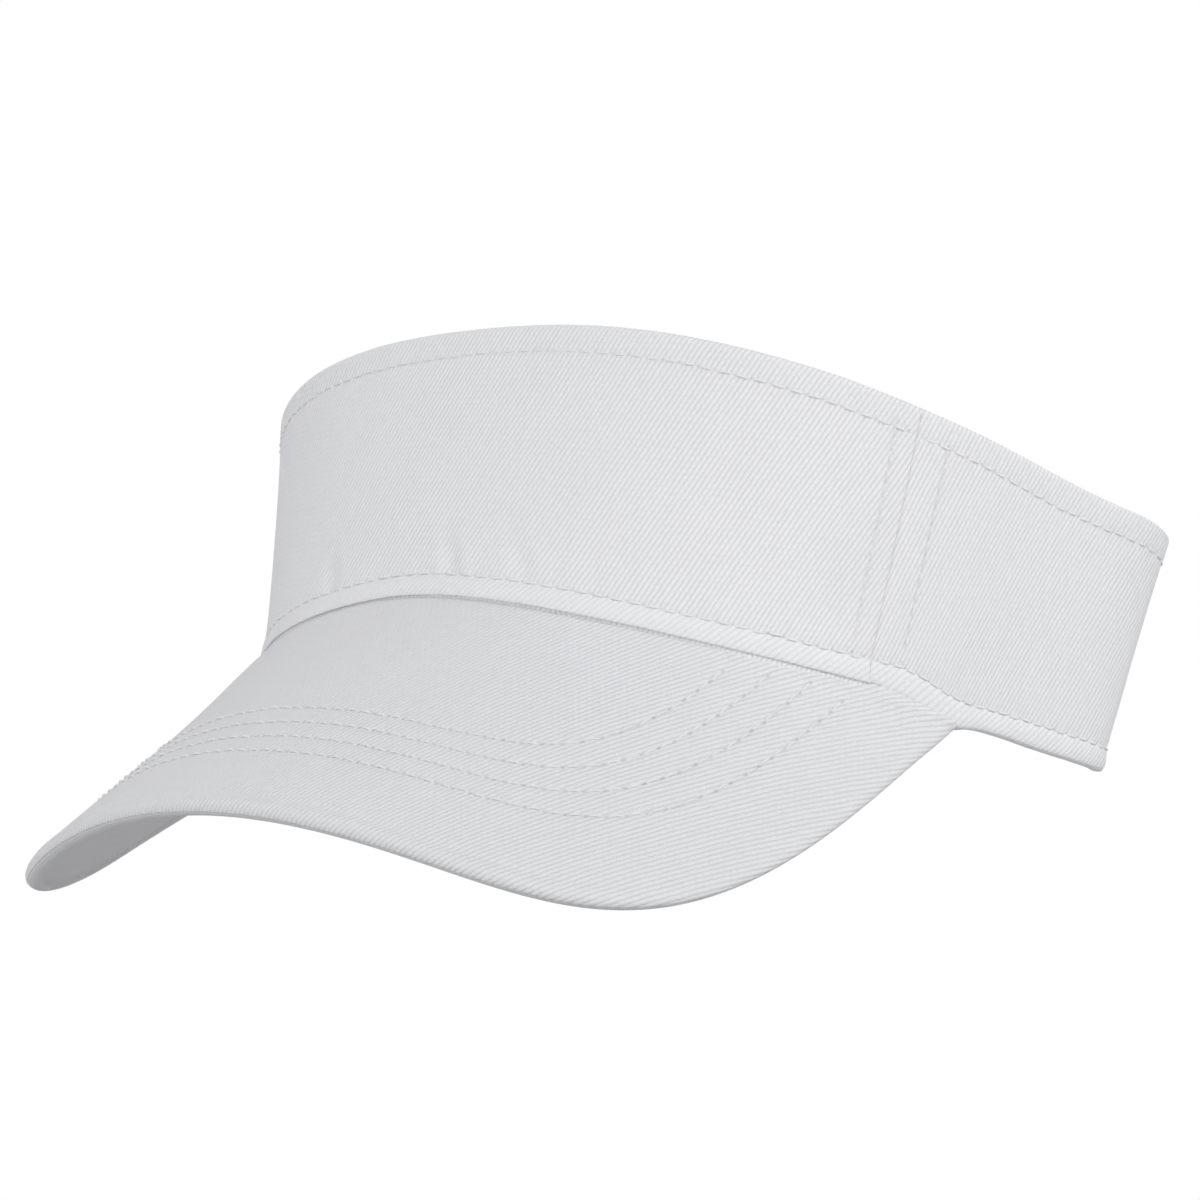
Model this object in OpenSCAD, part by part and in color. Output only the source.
// Sun visor: open-crown headband with a curved, stitched brim and a
// hook-and-loop strap at the back. Millimetres, +Z up, brim towards -Y.
// The origin is the centre of the head opening, on the datum plane that
// every height is measured from. Each "angle" is a station round the band, from 0
// at the front to +/-180 at the back; right means the +X side.

/* [Band plan] */
// Half of the band's width at the datum plane
half_width = 97.7; // [94:0.1:101]
// Distance from the head centre to the front of the band
front_depth = 92.2; // [90:0.1:95]
// Distance from the head centre to the back of the band
rear_depth = 64.4; // [63:0.1:66]
// Squareness of the plan outline, where 1 is a plain ellipse
plan_power = 0.894; // [0.88:0.002:0.92]
// Outward lean of the wall at the front, degrees
front_lean = -2.4; // [-4:0.1:1]
// Outward lean of the wall at the sides, degrees
side_lean = 10.9; // [8:0.1:12]
// Outward lean of the wall at the back, degrees
rear_lean = 3; // [0:0.5:5]

/* [Band heights] */
// Height of the top edge at the front
top_front = 81.2; // [76:0.1:85]
// Height of the top edge at the sides
top_side = 60.5; // [57:0.1:64]
// Height of the top edge at the back
top_rear = 62; // [59:0.5:64]
// Fall of the top edge from the head's centre line to the front and back
top_tilt = 5.85; // [4:0.05:8]
// Extra wave in the top edge between front and side
top_wave = -2.05; // [-3:0.05:0]
// Height of the lower edge beside the end of the brim
low_side = 9.3; // [8:0.1:11]
// Height that the lower edge would reach at the very back
low_rear = 33.5; // [32:0.5:36]
// How late the lower edge rises behind the brim, as a power
low_power = 2.2; // [1.9:0.1:2.6]
// Extra rise of the lower edge where the sides turn in to the back
low_lift = 3; // [0:0.2:4]

/* [Brim] */
// Slope of the brim below level at its centre, degrees
brim_slope = 49.4; // [47:0.1:51]
// Radius of the brim's side-to-side arch at its root
arch_r = 125.7; // [122:0.1:130]
// Growth of the arch radius per millimetre of brim length
arch_gain = 0.488; // [0.44:0.002:0.52]
// Y of the point where the brim's datum line starts
brim_y = -92.6; // [-94:0.1:-91]
// Height of the point where the brim's datum line starts
brim_z = 22.1; // [20:0.1:24]
// Half width of the brim, measured round its arch
brim_half = 117.5; // [116:0.1:120]
// Where the brim's outline is centred along its slope
brim_root = -34.6; // [-36:0.1:-33]
// Length of the brim's outline from that centre to its front edge
brim_len = 105.4; // [102:0.2:109]
// Thickness of the stiffening board inside the brim
board_t = 2; // [1.6:0.1:2.4]
// Thickness of each brim cover fabric
cover_t = 0.8; // [0.6:0.05:0.9]

/* [Fabric and sewing] */
// Thickness of the outer twill of the band
twill_t = 1; // [0.8:0.05:1.1]
// Depth of the hem stitch line below the top edge
hem_depth = 5.7; // [5:0.1:8]
// Height of the edge stitch line above the lower edge
edge_row = 4.9; // [4.6:0.1:6]
// Angle round the band of the side seams
seam_angle = 62.5; // [61.5:0.1:63.5]
// Half thickness of the sewing thread
thread_r = 0.22; // [0.18:0.01:0.25]
// Distance between the concentric stitch rows at the brim's centre
row_step = 4.9; // [4:0.1:5.3]

/* [Closure] */
// Lowest height of the closure strap
strap_low = 31.5; // [31:0.5:33]
// Width of the closure strap
strap_w = 25; // [22:0.5:26]
// Angle about the strap's centre at which the side panels end
panel_stop = 19; // [18.6:0.1:20]
// Angle about the strap's centre at which the strap's loose part begins
peel_at = -8; // [-9:0.5:-7]

/* [Hidden] */

white = [0.88, 0.88, 0.89];
pale = [0.82, 0.82, 0.83];
thread_white = [0.95, 0.95, 0.95];

// Clearances between layers, and between the panels at a side seam
gap = 0.1;
slack = 0.05;
seam_gap = 0.32;

// Thicknesses, and offsets of the layers' outer faces from the band's face
interlining_t = 0.6;
lining_t = 0.7;
sweatband_t = 1.5;
tape_t = 0.7;
brim_t = board_t + 2 * cover_t + 2 * gap;
interlining_out = -twill_t - gap;
front_lining_out = interlining_out - interlining_t - gap;
sweatband_out = front_lining_out - lining_t - gap;
side_lining_out = -twill_t - gap;
side_lining_in = side_lining_out - lining_t;
cord_out = thread_r + gap;

// Mean, front-to-back and twice-round terms of the wall's lean
lean_tilt = 2.65;
lean_mean = (front_lean - lean_tilt + side_lean) / 2;
lean_swing = (front_lean - lean_tilt - side_lean) / 2;
// Mean and twice-round terms of the top edge
top_mean = (top_front - top_tilt - top_wave + top_side) / 2;
top_swing = (top_front - top_tilt - top_wave - top_side) / 2;

// Axis and radius of the arc at the back of the plan
rear_y = -58;
rear_r = rear_depth - rear_y;

// Station angles over which one shape blends into the next
arc_blend = [90, 98];         // oval to rear arc
arc_sharpen = [130, 150];     // rounded corner to plain arc
arc_round = 4;                // rounding of that corner
lean_blend = [108, 150];      // side lean to rear lean
top_blend = [70, 98];         // front top edge to rear height
low_blend = [66, 77];         // brim root to side lower edge
low_start = 76.7;             // where the lower edge begins to rise
low_lift_blend = [112, 145];  // where low_lift comes in

// ---- general functions
function mix(from, to, share) = from + (to - from) * share;
function spaced(from, to, steps) = [for (i = [0 : steps]) from + (to - from) * i / steps];
function pick(list, first, last) = [for (i = [first : last]) list[i]];
// Smooth step from 0 to 1 over a range
function ease(range, v) =
  let (share = min(1, max(0, (v - range[0]) / (range[1] - range[0]))))
  share * share * (3 - 2 * share);
function signed_pow(v, power) = (v < 0 ? -1 : 1) * pow(abs(v), power);
// Lower of two values, with the corner between them rounded
function soft_min(a, b, round) =
  let (share = min(1, max(0, 0.5 + 0.5 * (b - a) / round)))
  b * (1 - share) + a * share - round * share * (1 - share);
// How far a rounded corner cuts into an edge at a distance from the sheet's end
function corner_cut(radius, dist) = dist >= radius ? 0 :
  radius - sqrt(max(0, radius * radius - (radius - dist) * (radius - dist)));

// ---- plan, lean and top edge of the band
function oval(angle) = [half_width * signed_pow(sin(angle), plan_power),
  -(cos(angle) > 0 ? front_depth : rear_depth) * signed_pow(cos(angle), plan_power)];
// The back of the plan is a true arc about [0, rear_y]
function plan(angle) =
  let (base = oval(angle),
       away = abs(angle),
       arc_y = rear_y + sqrt(max(1, rear_r * rear_r - base.x * base.x)),
       round = arc_round * (1 - ease(arc_sharpen, away)) + 0.000001,
       back_y = away > arc_sharpen[1] ? arc_y : soft_min(base.y, arc_y, round))
  away <= 90 ? base : [base.x, mix(base.y, back_y, ease(arc_blend, away))];
// Unit vector out of the plan
function outward(angle) = let (along = plan(angle + 0.25) - plan(angle - 0.25))
  [along.y, -along.x] / norm(along);
function lean(angle) =
  mix(lean_mean + lean_tilt * cos(angle) + lean_swing * cos(2 * angle),
    rear_lean, ease(lean_blend, abs(angle)));
// Point on the wall at height z, moved outwards by offset
function wall(angle, z, offset) =
  let (foot = plan(angle), out = outward(angle), shift = tan(lean(angle)) * z + offset)
  [foot.x + out.x * shift, foot.y + out.y * shift, z];
function z_top(angle) =
  mix(top_mean + top_tilt * cos(angle) + top_swing * cos(2 * angle)
    + top_wave * cos(3 * angle), top_rear, ease(top_blend, abs(angle)));

// ---- brim sheet: "across" runs round the arch, "down" runs down the slope
// and "height" along the sheet's normal
function arch(down) = arch_r + arch_gain * down;
function arch_angle(across, down) = across / arch(down) * 180 / PI;
// Slope distance of the sheet under a plan point, by repeated substitution
function solve_down(x, y, down, steps) = steps == 0 ? down :
  let (radius = arch(down), drop = radius - sqrt(max(0.001, radius * radius - x * x)))
  solve_down(x, y, (brim_y + drop * sin(brim_slope) - y) / cos(brim_slope), steps - 1);
// [across, down] of the sheet under a plan point
function sheet_coords(point) =
  let (down = solve_down(point.x, point.y, 0, 12), radius = arch(down))
  [radius * asin(min(1, max(-1, point.x / radius))) * PI / 180, down];
function sheet(across, down, height) =
  let (radius = arch(down), bend = arch_angle(across, down),
       fall = radius * (1 - cos(bend)) - height * cos(bend))
  [(radius + height) * sin(bend),
   brim_y - down * cos(brim_slope) + fall * sin(brim_slope),
   brim_z - down * sin(brim_slope) - fall * cos(brim_slope)];

// ---- lower edge of the band
function root_z(angle) = let (at = sheet_coords(plan(angle))) sheet(at.x, at.y, 0).z;
function side_z(angle) = low_side
  + (low_rear - low_side) * pow(max(0, abs(angle) - low_start) / (180 - low_start), low_power)
  + low_lift * ease(low_lift_blend, abs(angle));
function z_low(angle) = abs(angle) > low_blend[1] ? side_z(angle) :
  mix(root_z(angle), side_z(angle), ease(low_blend, abs(angle)));

// ---- where the brim meets the foot of the wall, and the brim's outline
function foot(angle) = sheet_coords(wall(angle, z_low(angle), 0));
// How far the sheet is drawn up along its normal to meet the wall
function lift(angle) = let (at = foot(angle))
  (z_low(angle) - sheet(at.x, at.y, 0).z) * cos(arch_angle(at.x, at.y)) * cos(brim_slope);
// Ray in the sheet from the outline's centre to the foot, and its direction
function ray(angle) = foot(angle) - [0, brim_root];
function bearing(angle) = let (to_foot = ray(angle)) atan2(to_foot.x, to_foot.y);

// Powers that set the squareness of the outline, across and down the brim
across_power = 6.17;
down_power = 3.72;
// Distance from the centre to an outline, by halving the interval low to high
function bisect(dir, half, length, low, high, steps) =
  let (middle = (low + high) / 2,
       level = pow(middle * abs(sin(dir)) / half, across_power)
         + pow(middle * max(0, cos(dir)) / length, down_power))
  steps == 0 ? middle :
  level > 1 ? bisect(dir, half, length, low, middle, steps - 1) :
  bisect(dir, half, length, middle, high, steps - 1);
// The defaults give the outline of the brim itself
function rim(angle, half = brim_half, length = brim_len) =
  bisect(bearing(angle), half, length, 20, 200, 16);

wall_clear = 0.35;  // clearance of the brim's layers from the wall
height_gain = 1.03; // allowance on a layer's height when clearing the wall
// Distance at which a layer has to start so that it stands clear of the wall
function start_r(angle, height) =
  let (at = foot(angle),
       bend = arch_angle(at.x, at.y),
       out = outward(angle),
       sine = sin(bend) * out.x - cos(bend) * sin(brim_slope) * out.y,
       cosine = sqrt(1 - sine * sine),
       along = foot(angle + 0.5) - foot(angle - 0.5),
       square = [-along.y, along.x] / norm(along),
       to_foot = ray(angle),
       facing = max(0.4, square * to_foot / norm(to_foot)))
  norm(to_foot)
    + (wall_clear - (height + lift(angle)) * sine * height_gain) / cosine / facing;
// Point on the brim at a distance from the centre; the lift dies out at the rim
function brim_at(angle, dist, height) =
  let (dir = bearing(angle), start = norm(ray(angle)),
       share = min(1, max(0, (dist - start) / max(2, rim(angle) - start))))
  sheet(dist * sin(dir), brim_root + dist * cos(dir),
    height + lift(angle) * (1 - share) * (1 - share));

// ---- solids from grids of points
function quad(a, b, c, d) = [[a, b, c], [a, c, d]];
// Sheet between two matching grids
module slab(front, back) {
  rows = len(front);
  cols = len(front[0]);
  other = rows * cols;
  end_row = other - cols;
  end_col = cols - 1;
  polyhedron(points = [for (row = front) each row, for (row = back) each row], faces = [
    for (i = [0 : rows - 2], j = [0 : cols - 2]) let (p = i * cols + j) each [
      each quad(p, p + 1, p + cols + 1, p + cols),
      each quad(other + p, other + p + cols, other + p + cols + 1, other + p + 1)],
    for (i = [0 : rows - 2]) let (p = i * cols, q = p + end_col) each [
      each quad(p, p + cols, other + p + cols, other + p),
      each quad(q + cols, q, other + q, other + q + cols)],
    for (j = [0 : cols - 2]) let (q = end_row + j) each [
      each quad(j + 1, j, other + j, other + j + 1),
      each quad(q, q + 1, other + q + 1, other + q)]],
    convexity = 8);
}
// Solid through a row of closed sections
module tube(rings) {
  count = len(rings);
  sides = len(rings[0]);
  polyhedron(points = [for (ring = rings) each ring], faces = [
    for (i = [0 : count - 2], j = [0 : sides - 1])
      let (p = i * sides, next = (j + 1) % sides)
      each quad(p + j, p + next, p + sides + next, p + sides + j),
    [for (j = [sides - 1 : -1 : 0]) j],
    [for (j = [0 : sides - 1]) (count - 1) * sides + j]], convexity = 8);
}
// Directions of the four corners of a cord's section
cord_turns = [0, 90, 180, 270];

// ---- stations of the front, the sides and the brim
// Every layer uses the same stations, so that the layers' facets stay parallel
front_s = spaced(-(seam_angle - seam_gap / 2), seam_angle - seam_gap / 2, 34);
function inside(trim) = pick(front_s, trim, len(front_s) - 1 - trim);
stop_s = 180 - asin(pow(rear_r * sin(panel_stop) / half_width, 1 / plan_power));
side_s = [for (i = [0 : 22])
  mix(seam_angle + seam_gap / 2, stop_s, 1 - pow(1 - i / 22, 1.25))];
binding_s = pick(side_s, 0, 19);
side_cord_s = pick(side_s, 1, 19);
brim_s = spaced(-73, 73, 40);
inner_s = [for (angle = brim_s) if (abs(angle) < 64.5) angle];

// ---- parts that follow the band
// Cut of the rounded corners at the rear end of the side panels
panel_round = 9;
function panel_cut(angle) = angle < 140 ? 0 :
  let (swing = asin(min(1, half_width * pow(sin(angle), plan_power) / rear_r)))
  corner_cut(panel_round, rear_r * (swing - panel_stop) * PI / 180);
function wall_grid(stations, lows, highs, offset, rows) =
  [for (i = [0 : len(stations) - 1])
    [for (z = spaced(lows[i], highs[i], rows)) wall(stations[i], z, offset)]];
// lows and highs hold one height for each station
module wall_sheet(stations, lows, highs, outer, thick, rows) {
  slab(wall_grid(stations, lows, highs, outer, rows),
       wall_grid(stations, lows, highs, outer - thick, rows));
}
// Sheet that follows both edges of the band
module band_layer(stations, above_low, below_top, outer, thick, rows) {
  wall_sheet(stations,
    [for (angle = stations) z_low(angle) + above_low + panel_cut(angle)],
    [for (angle = stations) z_top(angle) - below_top - panel_cut(angle)],
    outer, thick, rows);
}
// Solid along the lower edge; its profile lists [rise above edge, outward offset]
module edge_trim(stations, profile) {
  tube([for (angle = stations) let (z = z_low(angle) + panel_cut(angle))
    [for (corner = profile) wall(angle, z + corner[0], corner[1])]]);
}
module wall_cord(stations, heights) {
  tube([for (i = [0 : len(stations) - 1]) [for (turn = cord_turns)
    wall(stations[i], heights[i] + thread_r * sin(turn), cord_out + thread_r * cos(turn))]]);
}
module hem_cord(stations) {
  wall_cord(stations, [for (angle = stations) z_top(angle) - hem_depth]);
}
module edge_cord(stations) {
  wall_cord(stations, [for (angle = stations) z_low(angle) + edge_row]);
}
// Upright row of stitches; its half width is an angle in degrees
module seam_cord(angle) {
  half_turn = 0.608 * thread_r;
  tube([for (z = spaced(z_top(angle) - 1, z_low(angle) + edge_row + 1, 8))
    [for (turn = cord_turns)
      wall(angle + half_turn * sin(turn), z, cord_out + thread_r * cos(turn))]]);
}
module both_sides() for (side = [0, 1]) mirror([side, 0, 0]) children();

// ---- front of the band
module front_panel() color(white)
  band_layer(front_s, above_low = -3.2, below_top = 0, outer = 0, thick = twill_t, rows = 6);
module front_interlining() color(pale)
  band_layer(inside(1), above_low = 4, below_top = 4,
    outer = interlining_out, thick = interlining_t, rows = 5);
module front_lining() color(white)
  band_layer(front_s, above_low = -2.4, below_top = 1.2,
    outer = front_lining_out, thick = lining_t, rows = 5);
module sweatband() color(white) {
  lows = [for (angle = inside(2)) z_low(angle) - 3];
  wall_sheet(inside(2), lows, [for (z = lows) z + 30],
    outer = sweatband_out, thick = sweatband_t, rows = 3);
}
module front_edge_roll() color(white)
  edge_trim(front_s, [[0.5, gap], [0.45, 0.6], [1.2, 1], [2.6, 1], [4.3, 0.55], [4.3, gap]]);
module front_hem_thread() color(thread_white) hem_cord(inside(1));
module front_edge_thread() color(thread_white) edge_cord(inside(1));
module front_seam_threads() color(thread_white) both_sides() seam_cord(seam_angle - 2.5);
module side_seam_tapes() color(white) both_sides()
  band_layer(spaced(seam_angle - 5.6, seam_angle - 0.4, 3), above_low = 1, below_top = 2,
    outer = sweatband_out - slack, thick = tape_t, rows = 5);

// ---- brim
board_rim_gap = 0.5;
board_root_gap = 0.4;
board_top = -cover_t - gap;
function board_face(height) = [for (angle = inner_s)
  let (start = start_r(angle, height) + board_root_gap, end = rim(angle) - board_rim_gap)
  [for (share = spaced(0, 1, 12)) brim_at(angle, mix(start, end, share), height)]];
module brim_board() color(pale) slab(board_face(board_top - board_t), board_face(board_top));

// Rim section of a cover as [distance beyond the rim, height], for its outer and
// inner faces; each cover ends just short of the brim's middle
cover_end = -brim_t / 2 + 0.03;
rim_out = [[-1.0, 0], [0.35, -0.45], [1.05, -1.15], [1.3, cover_end]];
rim_in = [[-0.9, -cover_t], [-0.3, -cover_t - 0.02], [0.15, -1.3], [0.35, cover_end]];
// One face of a cover; the under cover is the top one turned over in height
function cover_face(stations, top, height, profile) =
  let (base = top ? 0 : -brim_t, way = top ? 1 : -1, level = base + way * height)
  [for (angle = stations) let (start = start_r(angle, level), end = rim(angle))
    [for (share = spaced(0, 0.92, 11)) brim_at(angle, mix(start, end - 1, share), level),
     for (corner = profile) brim_at(angle, end + corner[0], base + way * corner[1])]];
module brim_top_cover() color(white)
  slab(cover_face(brim_s, true, -cover_t, rim_in), cover_face(brim_s, true, 0, rim_out));
module brim_under_cover() color(pale)
  slab(cover_face(inner_s, false, 0, rim_out), cover_face(inner_s, false, -cover_t, rim_in));

// Concentric stitch rows, numbered outwards, and their insets from the brim's outline
row_count = 4;
row_side_inset = 17.3;
row_front_inset = 17.5;
row_side_step = 7;
row_root_gap = 3.6;
module brim_row(number) {
  half = brim_half - row_side_inset - row_side_step * (row_count - number);
  length = brim_len - row_front_inset - row_step * (row_count - number);
  stations = [for (angle = brim_s)
    if (rim(angle, half, length) > start_r(angle, 0) + row_root_gap) angle];
  tube([for (angle = stations) let (dist = rim(angle, half, length))
    [for (turn = cord_turns)
      brim_at(angle, dist + thread_r * cos(turn), cord_out + thread_r * sin(turn))]]);
}
module brim_stitch_row_1() color(thread_white) brim_row(1);
module brim_stitch_row_2() color(thread_white) brim_row(2);
module brim_stitch_row_3() color(thread_white) brim_row(3);
module brim_stitch_row_4() color(thread_white) brim_row(4);

// ---- sides, modelled on the right and mirrored for the left
module side_panel()
  band_layer(side_s, above_low = 0.9, below_top = 0, outer = 0, thick = twill_t, rows = 3);
module side_lining()
  band_layer(side_s, above_low = 0.9, below_top = 1.2,
    outer = side_lining_out, thick = lining_t, rows = 3);
// Folded strip round the lower edge, outside and inside
bind_in = side_lining_in - gap;
module edge_binding() edge_trim(binding_s, [
  [0.7, 0.9], [3.4, 0.85], [4.1, gap], [0.85, gap],
  [0.85, bind_in], [4.1, bind_in], [3.4, bind_in - 0.75], [0.7, bind_in - 0.8],
  [0, bind_in - 0.3], [0, 0.4]]);
module side_seam_cord() seam_cord(seam_angle + 4);
module on_left() mirror([1, 0, 0]) children();

module right_side_panel() color(white) side_panel();
module right_side_lining() color(white) side_lining();
module right_edge_binding() color(white) edge_binding();
module right_hem_thread() color(thread_white) hem_cord(side_cord_s);
module right_edge_thread() color(thread_white) edge_cord(side_cord_s);
module right_seam_thread() color(thread_white) side_seam_cord();
module left_side_panel() color(white) on_left() side_panel();
module left_side_lining() color(white) on_left() side_lining();
module left_edge_binding() color(white) on_left() edge_binding();
module left_hem_thread() color(thread_white) on_left() hem_cord(side_cord_s);
module left_edge_thread() color(thread_white) on_left() edge_cord(side_cord_s);
module left_seam_thread() color(thread_white) on_left() side_seam_cord();

// ---- closure: everything lies on cones about one upright axis, so that the
// strap can slide round over the loop patch. "swing" is the angle about that
// axis, 0 at the back and positive to the right; "inset" is measured in from the
// strap's upper and lower edges
strap_high = strap_low + strap_w;
strap_t = 1.55;
strap_out = gap + strap_t;
peel_gap = 0.12; // swing from peel_at to the end of each strap part
tab_t = 1.4;
loop_patch_t = 1;
hook_patch_t = 0.95;
tab_out = side_lining_in - slack - loop_patch_t - gap;

function rear_at(swing, z, offset) = let (radius = rear_r + tan(rear_lean) * z + offset)
  [radius * sin(swing), rear_y + radius * cos(swing), z];
// Sheet with its corners rounded by round_from and round_to at its two ends
module rear_sheet(from, to, inset, outer, thick, steps, round_from = 0, round_to = 0) {
  function end_cut(swing, end, radius) =
    corner_cut(radius, abs(swing - end) * rear_r * PI / 180);
  function grid(offset) = [for (swing = spaced(from, to, steps))
    let (cut = inset + max(end_cut(swing, from, round_from), end_cut(swing, to, round_to)))
    [for (z = spaced(strap_low + cut, strap_high - cut, 2)) rear_at(swing, z, offset)]];
  slab(grid(outer), grid(outer - thick));
}
// Rectangle of four separate cords
module frame_cord(from, to, inset, offset) {
  half_swing = 0.13;
  end_swing = 0.4;
  end_rise = 0.6;
  low = strap_low + inset;
  high = strap_high - inset;
  for (z = [low, high])
    tube([for (swing = spaced(from - end_swing, to + end_swing, 8)) [for (turn = cord_turns)
      rear_at(swing, z + thread_r * sin(turn), offset + thread_r * cos(turn))]]);
  for (swing = [from, to])
    tube([for (z = spaced(high - end_rise, low + end_rise, 4)) [for (turn = cord_turns)
      rear_at(swing - half_swing * sin(turn), z, offset + thread_r * cos(turn))]]);
}
module loop_tab() color(white)
  rear_sheet(25, -11, inset = 0, outer = tab_out, thick = tab_t, steps = 20, round_to = 5);
module loop_patch() color(pale)
  rear_sheet(18, -10, inset = 2, outer = tab_out + gap + loop_patch_t, thick = loop_patch_t,
    steps = 18, round_from = 2, round_to = 4);
module loop_tab_thread() color(thread_white)
  frame_cord(24, 20.2, inset = 2, offset = tab_out - tab_t - cord_out);
module strap_base() color(white)
  rear_sheet(peel_at - peel_gap, -25, inset = 0, outer = strap_out, thick = strap_t, steps = 12);
module strap_anchor_thread() color(thread_white)
  frame_cord(-20.2, -24, inset = 2, offset = strap_out + cord_out);
module strap_tail() color(white)
  rear_sheet(10.5, peel_at + peel_gap, inset = 0, outer = strap_out, thick = strap_t,
    steps = 14, round_from = 8);
module hook_patch() color(pale)
  rear_sheet(9.4, peel_at + 1, inset = 2, outer = 0, thick = hook_patch_t,
    steps = 12, round_from = 6, round_to = 2);
module hook_patch_thread() color(thread_white)
  frame_cord(5.5, peel_at + 2, inset = 3, offset = strap_out + cord_out);

front_panel();
front_interlining();
front_lining();
sweatband();
brim_board();
brim_top_cover();
brim_under_cover();
front_edge_roll();
brim_stitch_row_1();
brim_stitch_row_2();
brim_stitch_row_3();
brim_stitch_row_4();
front_hem_thread();
front_edge_thread();
front_seam_threads();
side_seam_tapes();
right_side_panel();
right_side_lining();
right_edge_binding();
right_hem_thread();
right_edge_thread();
right_seam_thread();
loop_tab();
loop_patch();
loop_tab_thread();
left_side_panel();
left_side_lining();
left_edge_binding();
left_hem_thread();
left_edge_thread();
left_seam_thread();
strap_base();
strap_anchor_thread();
strap_tail();
hook_patch();
hook_patch_thread();
